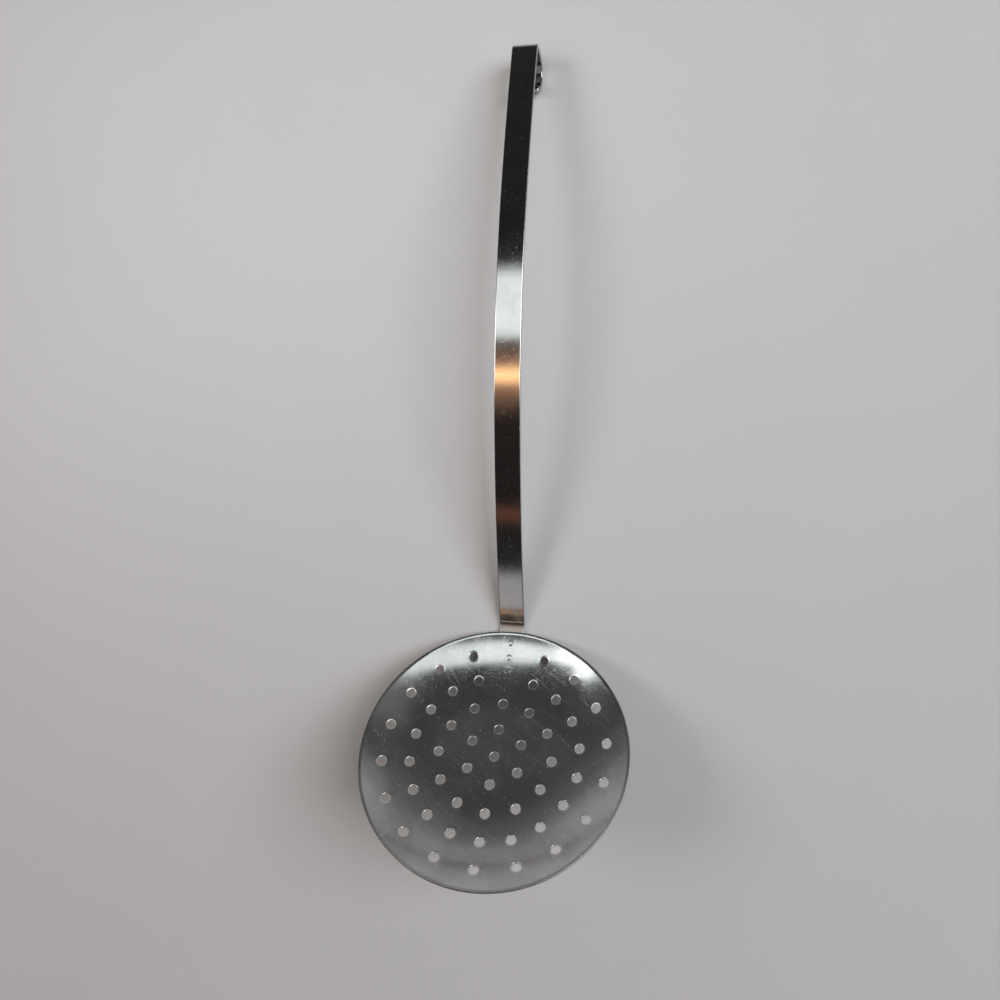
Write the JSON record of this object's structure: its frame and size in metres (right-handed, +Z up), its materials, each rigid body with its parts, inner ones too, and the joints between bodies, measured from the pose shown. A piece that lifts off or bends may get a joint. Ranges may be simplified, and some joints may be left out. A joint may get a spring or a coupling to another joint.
{
  "type": "skimmer ladle",
  "caption": "Shallow round perforated bowl spot welded to a long arched strap handle that ends in a hook for hanging.",
  "frame": {"origin": "on the table, under the middle of the whole ladle's box, as it lies open side up", "axes": "+Z up from the table, +Y from the bowl to the hook, +X to the right with the hook away from the viewer"},
  "size_m": [0.12, 0.3668, 0.0818],
  "materials": {
    "bowl_steel": "pressed stainless sheet, fine straight brushing with light scratches",
    "strap_steel": "rolled stainless strip, smooth, with softly rounded edges",
    "weld_steel": "dimpled spot weld, duller than the sheet round it"
  },
  "bodies": {
    "root": {"bowl": "bowl_steel", "handle_strap": "strap_steel", "spot_weld_outer": "weld_steel", "spot_weld_middle": "weld_steel", "spot_weld_inner": "weld_steel"}
  },
  "joints": []
}
